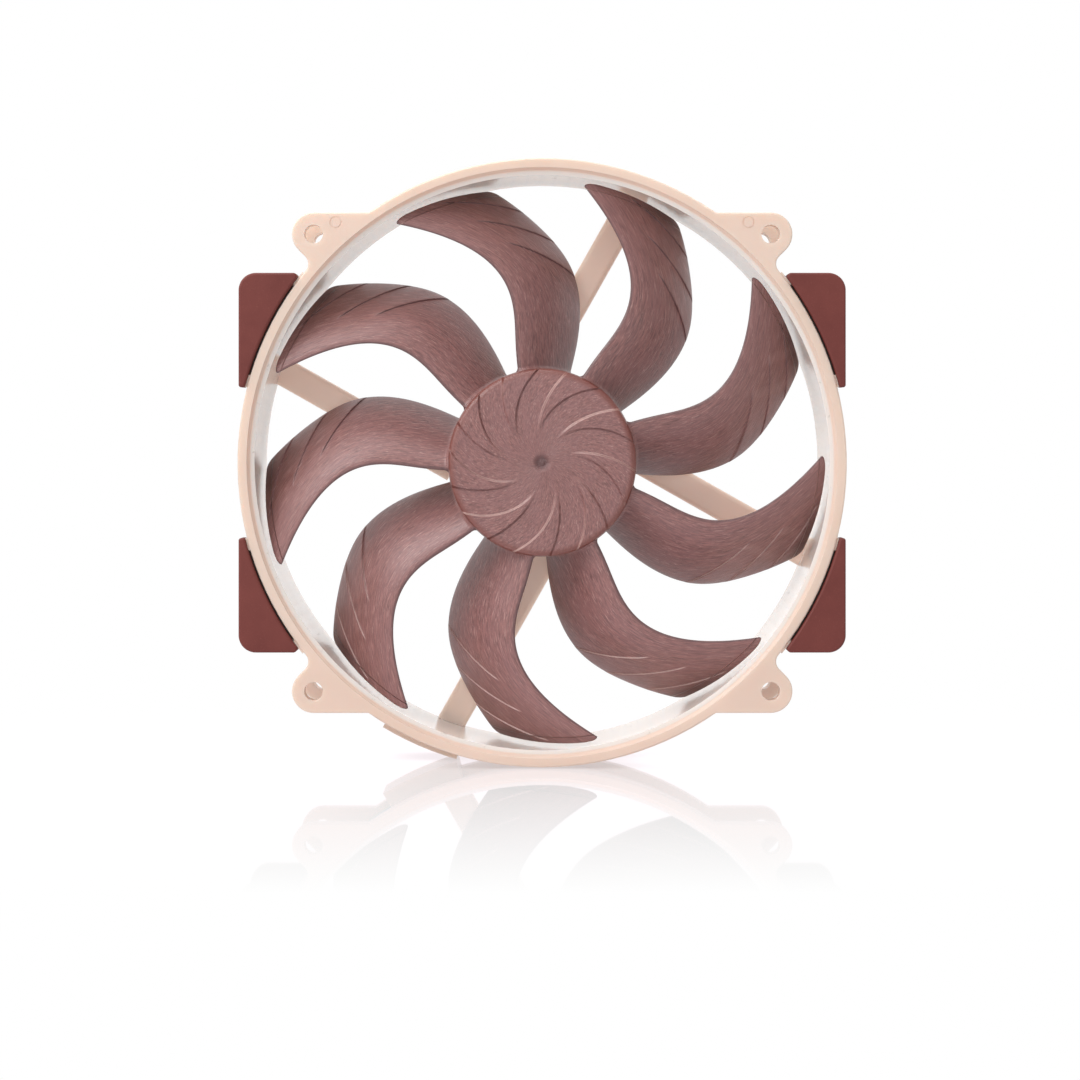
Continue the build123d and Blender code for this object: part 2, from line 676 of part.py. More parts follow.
def connector_terminals():
    """Folded sockets, one in each cavity, open towards the mating face."""
    made = []
    for index in range(4):
        depth = (index - 1.5) * PLUG_PITCH
        socket = plug_box((1.7, 1.7, 9.0), -0.9, depth) - plug_box((1.0, 1.0, 8.0), -1.9, depth)
        made.append(socket)
    return Compound(made)


# ---- write every piece --------------------------------------------------------------
WIRE_NAMES = ["wire_ground", "wire_power", "wire_speed_signal", "wire_speed_control"]

pieces = {
    "frame": frame(),
    "impeller": impeller(),
    "rotor_yoke": rotor_yoke(),
    "rotor_magnet": rotor_magnet(),
    "shaft": shaft(),
    "shaft_bushing": tube(BUSHING_RADIUS, SHAFT_RADIUS, SHAFT_FRONT, SHELL_FRONT - 0.7),
    "retaining_clip": retaining_clip(),
    "bearing_shell": bearing_shell(),
    "bearing_sleeve": bearing_sleeve(),
    "oil_seal": tube(SHELL_BORE, SHAFT_RADIUS + 0.1, SHELL_FRONT, SHELL_FRONT + SEAL_THICKNESS),
    "thrust_pad": tube(SHELL_BORE, 0, SHAFT_REAR + 0.05, 9.5),
    "bearing_magnet": tube(SHELL_BORE - 0.1, 0, 9.5, 10.7),
    "bearing_end_cap": tube(SHELL_BORE, 0, 10.7, SHELL_REAR - 0.6),
    "stator_core": stator_core(),
    "front_insulator": insulator(STATOR_FRONT, -1),
    "rear_insulator": insulator(STATOR_REAR, 1),
    "coil_windings": coil_windings(),
    "winding_pins": winding_pins(),
    "circuit_board": circuit_board(),
    "driver_chip": driver_chip(),
    "board_components": board_components(),
    "connector_housing": connector_housing(),
    "connector_terminals": connector_terminals(),
    "rear_label": tube(LABEL_RADIUS, 0, REAR - LABEL_RECESS, REAR - LABEL_RECESS + 0.15),
}
pieces.update({name: wire(index) for index, name in enumerate(WIRE_NAMES)})
pieces.update(pads())

os.makedirs("parts", exist_ok=True)
for name, piece in pieces.items():
    export_step(piece, f"parts/{name}.step")
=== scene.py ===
"""Looks for the case fan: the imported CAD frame, a finely modelled impeller, materials and a studio."""

import json
from math import pi, radians

import bpy
import numpy as np
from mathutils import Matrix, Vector


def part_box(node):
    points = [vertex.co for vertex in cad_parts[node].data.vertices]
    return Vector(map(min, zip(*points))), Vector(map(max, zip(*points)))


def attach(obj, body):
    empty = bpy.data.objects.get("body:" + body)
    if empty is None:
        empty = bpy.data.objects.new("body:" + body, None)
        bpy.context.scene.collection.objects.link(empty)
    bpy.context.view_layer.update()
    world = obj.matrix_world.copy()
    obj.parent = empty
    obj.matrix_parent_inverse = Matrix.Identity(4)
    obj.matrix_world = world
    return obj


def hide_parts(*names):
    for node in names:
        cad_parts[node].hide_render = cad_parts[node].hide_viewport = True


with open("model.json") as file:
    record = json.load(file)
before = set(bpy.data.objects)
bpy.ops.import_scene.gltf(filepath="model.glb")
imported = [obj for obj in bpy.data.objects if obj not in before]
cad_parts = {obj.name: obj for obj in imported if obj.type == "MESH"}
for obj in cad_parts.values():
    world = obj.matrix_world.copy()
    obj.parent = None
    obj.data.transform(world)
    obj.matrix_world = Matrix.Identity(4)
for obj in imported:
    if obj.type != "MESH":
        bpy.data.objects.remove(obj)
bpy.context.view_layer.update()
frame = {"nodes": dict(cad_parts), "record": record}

# ---- dimensions, in metres and degrees, read from the CAD frame where it has them --------------
MM = 0.001
hub_low, hub_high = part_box("impeller")
yoke_low, yoke_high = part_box("rotor_yoke")
frame_low, frame_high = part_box("frame")
BLADES = 9
TIP_RADIUS = hub_high.x
HUB_WALL = 1.5 * MM
HUB_RADIUS = yoke_high.x + HUB_WALL
HUB_FRONT = hub_low.y
HUB_REAR = hub_high.y
CUP_INSIDE = yoke_low.y
HUB_DOME = 0.3 * MM
HUB_LIP = HUB_FRONT + HUB_DOME
HUB_EDGE = 1.5 * MM
HUB_COLUMNS = 648

# Blade stations: radius in mm, leading-edge angle, trailing-edge angle.
STATIONS = np.array(
    [
        (20.0, 64.9, 32.7),
        (27.0, 62.6, 33.4),
        (34.0, 60.6, 35.0),
        (41.0, 61.0, 37.9),
        (48.0, 64.9, 42.7),
        (55.0, 71.5, 49.8),
        (62.0, 78.8, 57.0),
        (69.0, 85.6, 63.9),
    ]
)
BLADE_FRONT = -10.0 * MM
BLADE_REAR = 6.6 * MM
CAMBER = 0.16
ROOT_THICKNESS = 1.9 * MM
TIP_THICKNESS = 1.3 * MM
ROOT_FILLET = 1.0 * MM
CORNER = 1.3 * MM
BLUNT = 3.4 * MM
TIP_ROUND = 0.35 * MM
# Steps on each blade: radius at the trailing edge and climb in mm, and how many degrees each one runs.
# STEP_LENGTH is the length, in mm, over which the surface falls back beyond a step's ridge.
STEPS = ((44.4, 6.3, 16.8), (52.1, 5.3, 16.4), (59.3, 4.8, 15.0))
STEP_HEIGHT = 0.35 * MM
STEP_LENGTH = 2.6
LIP_WIDTH = 1.5 * MM
LIP_DEPTH = 0.3 * MM

# Hub vanes: angles of the first vane's two sides near the rim and how fast they swirl inwards, per mm.
VANES = 9
VANE_RADIUS = 21.3
VANE_RIGHT = 53.0
VANE_LEFT = 75.0
VANE_RIGHT_SWIRL = 2.9
VANE_LEFT_SWIRL = 1.6
VANE_HEIGHT = 0.24 * MM

# Duct wall and pads, which the frame's material tells apart by place. It paints a paler sheen on the
# duct wall and near-black shade in the gaps behind the pads.
BORE_RADIUS = 66.2 * MM
BORE_SKIN = 0.7 * MM
PAD_SEAT_RADIUS = 70.01 * MM
PAD_HEIGHTS = (20.2 * MM, 40.8 * MM)
STRUT_FRONT = 8.3 * MM
STRUT_GLOW = 0.2

# Studio light: towards the bright side of the room, its dimmest and brightest, what is behind the fan,
# what the floor throws back, how far its contact shadow reaches, how strong its mirror image is, two
# lamps, and where the light on fine relief comes from.
BRIGHT_SIDE = (-0.66, -0.35, 0.66)
ROOM_RANGE = (0.27, 1.08)
BACKDROP = 1.2
FLOOR_BOUNCE = 0.85
CONTACT_REACH = 7 * MM
MIRROR = 0.36
KEY_POWER = 2.1
TOP_POWER = 2.4
BLADE_RELIEF_LIGHT = (0.2, 0.0, 0.98)
HUB_RELIEF_LIGHT = (-0.4, 0.0, 0.92)
# How light the painted highlight and how dark the painted shade on the relief's lines are, and their half
# width in mm.
BLADE_LINES = (0.5, 0.5, 0.13)
HUB_LINES = (0.35, 0.2, 0.3)


# ---- small maths -------------------------------------------------------------------------------
def smooth(low, high, value):
    """0 below low, 1 above high, with a smooth rise between."""
    t = np.clip((value - low) / (high - low), 0.0, 1.0)
    return t * t * (3 - 2 * t)


def curve_through(xs, ys):
    """A natural cubic spline through the points, as a function."""
    n = len(xs)
    gaps = np.diff(xs)
    system = np.eye(n)
    right = np.zeros(n)
    for i in range(1, n - 1):
        system[i, i - 1 : i + 2] = gaps[i - 1], 2 * (gaps[i - 1] + gaps[i]), gaps[i]
        right[i] = 6 * ((ys[i + 1] - ys[i]) / gaps[i] - (ys[i] - ys[i - 1]) / gaps[i - 1])
    bend = np.linalg.solve(system, right)

    def value(x):
        i = np.clip(np.searchsorted(xs, x) - 1, 0, n - 2)
        left, rest, gap = x - xs[i], xs[i + 1] - x, gaps[i]
        cubic = (bend[i] * rest**3 + bend[i + 1] * left**3) / (6 * gap)
        line = (ys[i] / gap - bend[i] * gap / 6) * rest + (ys[i + 1] / gap - bend[i + 1] * gap / 6) * left
        return cubic + line

    return value


leading_angle = curve_through(STATIONS[:, 0] * MM, STATIONS[:, 1])
trailing_angle = curve_through(STATIONS[:, 0] * MM, STATIONS[:, 2])


# ---- meshes ------------------------------------------------------------------------------------
def grid_mesh(name, points, attributes):
    """A tube-like mesh from a rows x columns grid of points, with vectors for the material to read."""
    rows, columns = points.shape[:2]
    index = np.arange(rows * columns).reshape(rows, columns)
    index = np.hstack([index, index[:, :1]])
    quads = np.stack([index[:-1, :-1], index[:-1, 1:], index[1:, 1:], index[1:, :-1]], axis=-1)
    mesh = bpy.data.meshes.new(name)
    mesh.from_pydata(points.reshape(-1, 3).tolist(), [], quads.reshape(-1, 4).tolist())
    for key, values in attributes.items():
        attribute = mesh.attributes.new(key, "FLOAT_VECTOR", "POINT")
        attribute.data.foreach_set("vector", np.stack(values, axis=-1).reshape(-1).astype(np.float32))
    mesh.shade_smooth()
    piece = bpy.data.objects.new(name, mesh)
    bpy.context.scene.collection.objects.link(piece)
    return piece


def cylinder_points(radius, angle, depth):
    """Points in the part's frame from radius, front-view angle in degrees and depth along Y."""
    turn = np.radians(angle)
    return np.stack([radius * np.cos(turn), depth + 0 * turn, radius * np.sin(turn)], axis=-1)


def blade_grid():
    """Radius and place along the chord over a blade's skin, and the face: -1 in front, 1 behind."""
    span = np.concatenate(
        [
            np.linspace(HUB_RADIUS - 0.9 * MM, HUB_RADIUS + 2.0 * MM, 16),
            np.linspace(HUB_RADIUS + 2.3 * MM, TIP_RADIUS - LIP_WIDTH - 0.3 * MM, 146),
            np.linspace(TIP_RADIUS - LIP_WIDTH - 0.2 * MM, TIP_RADIUS - CORNER, 5),
            TIP_RADIUS - CORNER + CORNER * np.sin(np.linspace(0.05, pi / 2, 28)),
        ]
    )
    side = 0.5 - 0.5 * np.cos(np.linspace(0, pi, 96))
    loop = np.concatenate([side, side[-2:0:-1]])
    face = np.concatenate([np.full(len(side), -1.0), np.full(len(side) - 2, 1.0)])
    r, along = np.meshgrid(span, loop, indexing="ij")
    return r, along, np.broadcast_to(face, r.shape)


def blade_trim(r, chord):
    """The root fillet, and the share of the chord that comes off the leading and the trailing end."""
    reach = np.clip(r - (TIP_RADIUS - CORNER), 0, CORNER)
    cut = CORNER - np.sqrt(CORNER**2 - reach**2)
    blunt = cut + BLUNT * (1 - np.sqrt(1 - (reach / CORNER) ** 2)) - 0.15 * MM
    climb = np.clip(ROOT_FILLET - (r - HUB_RADIUS), 0, ROOT_FILLET)
    fillet = np.minimum(ROOT_FILLET - np.sqrt(ROOT_FILLET**2 - climb**2), 0.6 * MM)
    return fillet, (blunt - 0.7 * fillet) / chord, (cut - 0.7 * fillet) / chord


def blade_steps(r, angle, sign):
    """How far beyond each step's ridge points are, in mm, how much it shows, and the whole rise."""
    ridges, fades = [], []
    swell = np.zeros_like(r)
    for start, rise, sweep in STEPS:
        turned = angle - trailing_angle(np.array([start * MM]))[0]
        beyond = r / MM - (start + rise * turned / sweep)
        fade = (1 - smooth(0.98 * sweep, 1.2 * sweep, turned)) * (sign < 0)
        swell += smooth(-0.15, 0.15, beyond) * np.exp(-np.clip(beyond, 0, None) / STEP_LENGTH) * fade
        ridges.append(beyond)
        fades.append(fade)
    return ridges, fades, swell


def blade_mesh(name):
    """One blade: a thin cambered skin, thick at the root, with raised steps by its trailing edge."""
    r, along, sign = blade_grid()
    lead, trail = leading_angle(r), trailing_angle(r)
    chord = r * np.radians(lead - trail)
    fillet, front_trim, rear_trim = blade_trim(r, chord)
    u = front_trim + along * (1 - front_trim - rear_trim)
    angle = lead + (trail - lead) * u
    depth = BLADE_FRONT + (BLADE_REAR - BLADE_FRONT) * (u - CAMBER * 4 * u * (1 - u))

    share = (r - HUB_RADIUS) / (TIP_RADIUS - HUB_RADIUS)
    half = 0.5 * (ROOT_THICKNESS + share * (TIP_THICKNESS - ROOT_THICKNESS))
    closing = np.clip((r - (TIP_RADIUS - TIP_ROUND)) / TIP_ROUND, 0, 1)
    edge = np.abs(2 * along - 1)
    half = (half * np.sqrt(1 - closing**2) + fillet) * np.sqrt(1 - edge**7)
    ridges, fades, swell = blade_steps(r, angle, sign)
    lip = (TIP_RADIUS - LIP_WIDTH - r) / MM
    recess = LIP_DEPTH * (1 - smooth(0.0, 0.2, lip)) * (sign < 0)
    raised = (STEP_HEIGHT * swell - recess) * (1 - edge**12) * np.sqrt(1 - closing**2)
    offset = sign * half - raised

    slope = (BLADE_REAR - BLADE_FRONT) * (1 - CAMBER * 4 * (1 - 2 * u))
    norm = np.hypot(slope, chord)
    shifted = angle + np.degrees(offset * slope / norm / r)
    points = cylinder_points(r, shifted, depth + offset * chord / norm)
    # Painted shade: the blade's colour darkens towards its leading and trailing edges.
    painted_edge_and_dimple_shade = 0.75 * (1 - smooth(0.1 * MM, 0.75 * MM, chord * (1 - edge) / 2))
    tip_shade = (1 - smooth(0.0, 2.2, lip)) * smooth(0.3, 0.8, u)
    attributes = {
        "flow": (r, u * chord, sign * 0.01),
        "ridge": ridges,
        "ridge_fade": fades,
        "lip": (lip, (sign < 0) * 1.0, 0 * r),
        "tint": (painted_edge_and_dimple_shade, 0 * r, tip_shade),
    }
    return grid_mesh(name, points, attributes)


def hub_profile():
    """Radius and depth round the hub cup's outline, and how many rows are its face and rounded edge."""
    face = np.concatenate([np.linspace(0.02, 3, 18), np.linspace(3.2, 19.8, 84)]) * MM
    corner = np.linspace(0, pi / 2, 12)[1:]
    inner = HUB_RADIUS - HUB_WALL
    floor = CUP_INSIDE - 0.01 * MM
    side_top = HUB_LIP + HUB_EDGE
    side = side_top + np.linspace(0.08, 0.98, 14) * (HUB_REAR - side_top)
    outline = [
        *zip(face, HUB_FRONT + HUB_DOME * (face / HUB_RADIUS) ** 2),
        *zip(HUB_RADIUS - HUB_EDGE * (1 - np.sin(corner)), HUB_LIP + HUB_EDGE * (1 - np.cos(corner))),
        *[(HUB_RADIUS, depth) for depth in side],
        (HUB_RADIUS - 0.1 * MM, HUB_REAR - 0.03 * MM),
        (HUB_RADIUS - 0.3 * MM, HUB_REAR),
        (inner + 0.2 * MM, HUB_REAR),
        (inner, HUB_REAR - 0.2 * MM),
        (inner, CUP_INSIDE + 0.3 * MM),
        (inner - 0.3 * MM, floor),
        (3.6 * MM, floor),
        (0.02 * MM, floor),
    ]
    radius, depth = np.array(outline).T
    return radius, depth, len(face), len(face) + len(corner)


def hub_vanes(r_mm, angle):
    """How far, in mm, points are outside the nearest vane's sides, and where the vanes have any width."""
    right = VANE_RIGHT + (VANE_RADIUS - r_mm) * VANE_RIGHT_SWIRL
    left = VANE_LEFT + (VANE_RADIUS - r_mm) * VANE_LEFT_SWIRL
    pitch = 360 / VANES
    away = np.abs((angle - (right + left) / 2 + pitch / 2) % pitch - pitch / 2)
    return (away - (left - right) / 2) * np.radians(1) * r_mm, left > right


def hub_mesh(name):
    """The hub cup: a slightly domed face with swirl vanes, a rounded edge and an open back."""
    radius, depth, face_rows, front_rows = hub_profile()
    r, angle = np.meshgrid(radius, -np.arange(HUB_COLUMNS) * 360 / HUB_COLUMNS, indexing="ij")
    y = np.repeat(depth[:, None], HUB_COLUMNS, axis=1)
    row = np.arange(len(radius))[:, None]
    r_mm = r / MM
    past, wide = hub_vanes(r_mm, angle)
    edge_fade = 1 - smooth(HUB_LIP + 0.3 * HUB_EDGE, HUB_LIP + HUB_EDGE, y)
    fade = smooth(5.5, 14.0, r_mm) * (row < front_rows) * wide * edge_fade
    height = VANE_HEIGHT * (1 - smooth(-0.16, 0.16, past)) * fade
    dish = 0.75 * MM * np.exp(-((r_mm / 1.6) ** 4))
    pip = 0.25 * MM * (1 - smooth(0.4, 0.8, r_mm))
    y = y - height + (row < face_rows) * (dish - pip)
    swirl = np.radians(angle + VANE_LEFT_SWIRL * 1.3 * r_mm)
    none = 0 * r
    rim = smooth(19.9, 20.9, r_mm) * (1 - smooth(HUB_LIP + 1.6 * MM, HUB_LIP + 2.4 * MM, y))
    # Painted shade: the hub face's colour darkens in and round the centre dimple.
    painted_dimple_shade = 0.7 * (row < face_rows) * (1 - smooth(0.6, 2.4, r_mm))
    attributes = {
        "flow": (2.6 * (r + y), swirl * 13 * MM, none + 0.02),
        "ridge": (-past, none, none),
        "ridge_fade": (fade, none, none),
        "lip": (none + 9, none, none),
        "tint": (painted_dimple_shade, rim, none),
    }
    return grid_mesh(name, cylinder_points(r, angle, y), attributes)


# ---- materials ---------------------------------------------------------------------------------
class Nodes:
    """Short names for the shader nodes that a material or the world is built from."""

    def __init__(self, owner, output="ShaderNodeOutputMaterial", shader="ShaderNodeBsdfPrincipled"):
        owner.use_nodes = True
        self.owner = owner
        self.tree = owner.node_tree
        self.tree.nodes.clear()
        self.output = self.add(output)
        self.shader = self.add(shader)
        self.link(self.shader.outputs[0], self.output.inputs[0])

    def add(self, kind):
        return self.tree.nodes.new(kind)

    def link(self, source, target):
        self.tree.links.new(source, target)

    def put(self, target, value):
        if isinstance(value, bpy.types.NodeSocket):
            self.link(value, target)
        else:
            target.default_value = value

    def set(self, **values):
        for key, value in values.items():
            self.put(self.shader.inputs[key.replace("_", " ")], value)

    def coordinates(self, attribute=None):
        if attribute:
            node = self.add("ShaderNodeAttribute")
            node.attribute_name = attribute
            return node.outputs["Vector"]
        return self.add("ShaderNodeTexCoord").outputs["Object"]

    def stretch(self, vector, scale):
        node = self.add("ShaderNodeVectorMath")
        node.operation = "MULTIPLY"
        self.link(vector, node.inputs[0])
        node.inputs[1].default_value = scale
        return node.outputs[0]

    def noise(self, vector, scale=1.0, detail=4.0, rough=0.55, warp=0.0):
        node = self.add("ShaderNodeTexNoise")
        self.link(vector, node.inputs["Vector"])
        node.inputs["Scale"].default_value = scale
        node.inputs["Detail"].default_value = detail
        node.inputs["Roughness"].default_value = rough
        node.inputs["Distortion"].default_value = warp
        return node.outputs[0]

    def math(self, operation, *values):
        node = self.add("ShaderNodeMath")
        node.operation = operation
        for socket, value in zip(node.inputs, values):
            self.put(socket, value)
        return node.outputs[0]

    def span(self, value, low, high, start=0.0, end=1.0):
        """Maps value from low..high onto start..end, held at both ends."""
        node = self.add("ShaderNodeMapRange")
        for socket, number in zip(node.inputs, (value, low, high, start, end)):
            self.put(socket, number)
        return node.outputs[0]

    def mix(self, share, first, second):
        node = self.add("ShaderNodeMix")
        node.data_type = "RGBA"
        self.put(node.inputs[0], share)
        self.put(node.inputs[6], first)
        self.put(node.inputs[7], second)
        return node.outputs[2]

    def parts(self, vector):
        node = self.add("ShaderNodeSeparateXYZ")
        self.link(vector, node.inputs[0])
        return node.outputs

    def axis_distance(self, x, z):
        """How far a point is from the rotor axis."""
        squares = [self.math("MULTIPLY", value, value) for value in (x, z)]
        return self.math("SQRT", self.math("ADD", *squares))

    def within(self, value, low, high, soft=0.1 * MM):
        """1 between low and high and 0 outside, with a soft step at both ends."""
        above = self.span(value, low, low + soft)
        return self.math("MULTIPLY", above, self.span(value, high - soft, high, 1.0, 0.0))

    def dot(self, vector, direction):
        node = self.add("ShaderNodeVectorMath")
        node.operation = "DOT_PRODUCT"
        self.link(vector, node.inputs[0])
        node.inputs[1].default_value = direction
        return node.outputs["Value"]

    def bump(self, height, distance, strength=1.0, below=None):
        node = self.add("ShaderNodeBump")
        node.inputs["Strength"].default_value = strength
        node.inputs["Distance"].default_value = distance
        self.link(height, node.inputs["Height"])
        if below is not None:
            self.link(below, node.inputs["Normal"])
        return node.outputs[0]


def colour(red, green, blue):
    """A screen colour, 0-255, as the linear values shaders use."""
    screen = [channel / 255 for channel in (red, green, blue)]
    return (*[c / 12.92 if c <= 0.04045 else ((c + 0.055) / 1.055) ** 2.4 for c in screen], 1.0)


def relief_normal(n, line_width):
    """The normal with lips, steps and vanes as slopes, line_width in mm to either side of each ridge."""
    height = n.math("MULTIPLY", n.span(n.parts(n.coordinates("lip"))[0], 0.0, 0.2), 0.9)
    height = n.math("MULTIPLY", height, n.parts(n.coordinates("lip"))[1])
    ridges, fades = n.parts(n.coordinates("ridge")), n.parts(n.coordinates("ridge_fade"))
    for ridge, fade in zip(ridges, fades):
        slope = n.span(ridge, -line_width, line_width)
        height = n.math("ADD", height, n.math("MULTIPLY", slope, fade))
    return n.bump(height, STEP_HEIGHT)


def relief_tint(n, base, normal, relief_light, light_line, dark_line):
    """The base colour with painted shade at the blade edges, by the blade tips and in the hub's dimple,
    a redder, darker band round the hub's edge, and painted highlight and shade on the relief:
    lighter where it faces relief_light, darker where it faces away.
    """
    facing = n.add("ShaderNodeVectorMath")
    facing.operation = "SUBTRACT"
    n.link(normal, facing.inputs[0])
    n.link(n.add("ShaderNodeNewGeometry").outputs["Normal"], facing.inputs[1])
    relief = n.dot(facing.outputs[0], relief_light)
    painted_edge_and_dimple_shade, red_edge, tip_shade = n.parts(n.coordinates("tint"))
    base = n.mix(n.span(tip_shade, 0.0, 1.0, 0.0, 0.55), base, colour(78, 45, 43))
    base = n.mix(n.span(red_edge, 0.0, 1.0, 0.0, 0.8), base, colour(118, 56, 45))
    base = n.mix(n.span(painted_edge_and_dimple_shade, 0.0, 1.0, 0.0, 0.8), base, colour(70, 44, 48))
    # Painted highlight and shade on the relief: lighter where it faces relief_light, darker where it
    # faces away.
    base = n.mix(n.span(relief, 0.05, 0.45, 0.0, light_line), base, colour(226, 190, 180))
    return n.mix(n.span(relief, -0.45, -0.05, dark_line, 0.0), base, colour(66, 36, 33))


def impeller_composite(name, relief_light, light_line, dark_line, line_width):
    """Semi-gloss brown plastic with fine fibre streaks along the moulding's flow, and crisp steps
    drawn in painted highlight and shade.

    The last four values are for the relief: where its light comes from, how light its painted
    highlight and how dark its painted shade are on the lines, and their half width in mm.
    """
    n = Nodes(bpy.data.materials.new(name))
    flow = n.add("ShaderNodeVectorMath")
    n.link(n.coordinates("flow"), flow.inputs[0])
    n.link(n.add("ShaderNodeObjectInfo").outputs["Random"], flow.inputs[1])
    flow = flow.outputs[0]
    fibre = n.noise(n.stretch(flow, (420, 3400, 50)), detail=5, rough=0.6, warp=0.5)
    hair = n.noise(n.stretch(flow, (480, 6400, 50)), detail=3, rough=0.5, warp=0.9)
    cloud = n.noise(n.stretch(flow, (110, 260, 50)), detail=3, warp=0.6)
    grain = n.noise(n.coordinates(), 2600, detail=2)
    base = n.mix(n.span(fibre, 0.32, 0.68), colour(99, 58, 56), colour(155, 103, 98))
    base = n.mix(n.span(cloud, 0.35, 0.7, 0.0, 0.5), base, colour(136, 91, 91))
    base = n.mix(n.span(hair, 0.56, 0.72, 0.0, 0.55), base, colour(202, 160, 153))
    rough = n.math("ADD", n.span(fibre, 0.3, 0.7, 0.34, 0.48), n.span(cloud, 0.3, 0.7, -0.04, 0.05))
    normal = relief_normal(n, line_width)
    base = relief_tint(n, base, normal, relief_light, light_line, dark_line)
    normal = n.bump(fibre, 0.00009, below=normal)
    normal = n.bump(hair, 0.00004, below=normal)
    normal = n.bump(grain, 0.00002, below=normal)
    n.set(Base_Color=base, Roughness=rough, Normal=normal)
    n.shader.inputs["Specular IOR Level"].default_value = 0.95
    return n.owner


def blade_look(name):
    """Composite with the crisp steps of the blades."""
    return impeller_composite(name, BLADE_RELIEF_LIGHT, *BLADE_LINES)


def hub_look(name):
    """Composite with the softer vanes of the hub."""
    return impeller_composite(name, HUB_RELIEF_LIGHT, *HUB_LINES)


def bore_share(n, radius):
    """1 on the glossy wall of the duct, which the frame's material paints a paler sheen, 0 elsewhere."""
    outside = n.span(radius, BORE_RADIUS - 0.1 * MM, BORE_RADIUS)
    skin = BORE_RADIUS + BORE_SKIN
    return n.math("MULTIPLY", outside, n.span(radius, skin, skin + 0.4 * MM, 1.0, 0.0))


def painted_pad_gap_shade(n, radius, z):
    """1 on the rim wall behind the pads, which is painted near black as shade, 0 elsewhere."""
    beside = n.within(n.math("ABSOLUTE", z), *PAD_HEIGHTS, 0.2 * MM)
    return n.math("MULTIPLY", beside, n.span(radius, PAD_SEAT_RADIUS, PAD_SEAT_RADIUS + 0.04 * MM))


def strut_share(n, radius, y):
    """1 on the struts and the motor base, 0 elsewhere."""
    rear = n.span(y, STRUT_FRONT, STRUT_FRONT + 0.3 * MM)
    return n.math("MULTIPLY", rear, n.span(radius, BORE_RADIUS - 0.1 * MM, BORE_RADIUS, 1.0, 0.0))


def frame_plastic(name):
    """Pale smooth plastic: satin outside, glossier in the bore with a painted paler, greyer sheen,
    and painted near-black shade in the gaps behind the pads.

    The struts glow a little, because lamps and room alone leave them darker than in the photo.
    """
    n = Nodes(bpy.data.materials.new(name))
    where = n.coordinates()
    x, y, z = n.parts(where)
    radius = n.axis_distance(x, z)
    cloud = n.noise(where, 38, detail=3)
    speck = n.noise(where, 2400, detail=2)
    texture = n.noise(where, 5200, detail=2)
    base = n.mix(n.span(cloud, 0.3, 0.7), colour(221, 197, 181), colour(227, 204, 189))
    base = n.mix(n.span(speck, 0.66, 0.8, 0.0, 0.25), base, colour(212, 184, 168))
    bore = bore_share(n, radius)
    # Painted reflection: the duct wall is coloured a paler, greyer white than the plastic, standing for
    # the bright room seen in its glossy surface, with darker streaks along the axis.
    streak_noise = n.noise(n.stretch(where, (700, 120, 700)), detail=4, rough=0.7)
    painted_bore_sheen = n.mix(n.span(streak_noise, 0.62, 0.74, 0.0, 0.5), colour(228, 221, 216), colour(150, 138, 128))
    base = n.mix(n.math("MULTIPLY", bore, 0.85), base, painted_bore_sheen)
    # Painted shade: the rim wall in the gaps behind the pads is coloured near black.
    base = n.mix(n.math("MULTIPLY", painted_pad_gap_shade(n, radius, z), 0.93), base, colour(20, 10, 8))
    satin = n.math("ADD", n.span(cloud, 0.3, 0.7, 0.34, 0.42), n.span(speck, 0.3, 0.7, -0.02, 0.02))
    rough = n.math("MULTIPLY", satin, n.span(bore, 0.0, 1.0, 1.0, 0.38))
    normal = n.bump(texture, 0.000012)
    glow = n.math("MULTIPLY", strut_share(n, radius, y), STRUT_GLOW)
    n.set(Base_Color=base, Roughness=rough, Normal=normal)
    n.set(Emission_Color=base, Emission_Strength=glow)
    n.link(n.span(bore, 0.0, 1.0, 0.5, 0.9), n.shader.inputs["Specular IOR Level"])
    n.shader.inputs["Subsurface Weight"].default_value = 0.4
    n.shader.inputs["Subsurface Radius"].default_value = (1.0, 0.75, 0.6)
    n.shader.inputs["Subsurface Scale"].default_value = 4 * MM
    return n.owner


def pad_silicone(name):
    """Soft brown-red silicone with a dusty, slightly cloudy surface."""
    n = Nodes(bpy.data.materials.new(name))
    where = n.coordinates()
    cloud = n.noise(where, 120, detail=4)
    dust = n.noise(where, 3200, detail=3)
    base = n.mix(n.span(cloud, 0.3, 0.7), colour(104, 46, 41), colour(115, 55, 49))
    base = n.mix(n.span(dust, 0.6, 0.8, 0.0, 0.3), base, colour(150, 92, 84))
    rough = n.math("ADD", n.span(cloud, 0.3, 0.7, 0.48, 0.60), n.span(dust, 0.3, 0.7, -0.04, 0.04))
    n.set(Base_Color=base, Roughness=rough, Normal=n.bump(dust, 0.00002))
    n.shader.inputs["Specular IOR Level"].default_value = 0.35
    return n.owner


def metal(name, first, second, low, high, scale, rough):
    """Turned, drawn or stamped metal: fine lines across the given stretch, and tarnish."""
    n = Nodes(bpy.data.materials.new(name))
    where = n.coordinates()
    lines = n.noise(n.stretch(where, scale), detail=4)
    tarnish = n.noise(where, 260, detail=4)
    base = n.mix(n.span(lines, low, high), colour(*first), colour(*second))
    base = n.mix(n.span(tarnish, 0.5, 0.8, 0.0, 0.35), base, colour(*[c * 0.6 for c in first]))
    shine = n.span(lines, 0.3, 0.7, *rough)
    n.set(Base_Color=base, Metallic=1.0, Roughness=shine, Normal=n.bump(lines, 0.00002))
    return n.owner


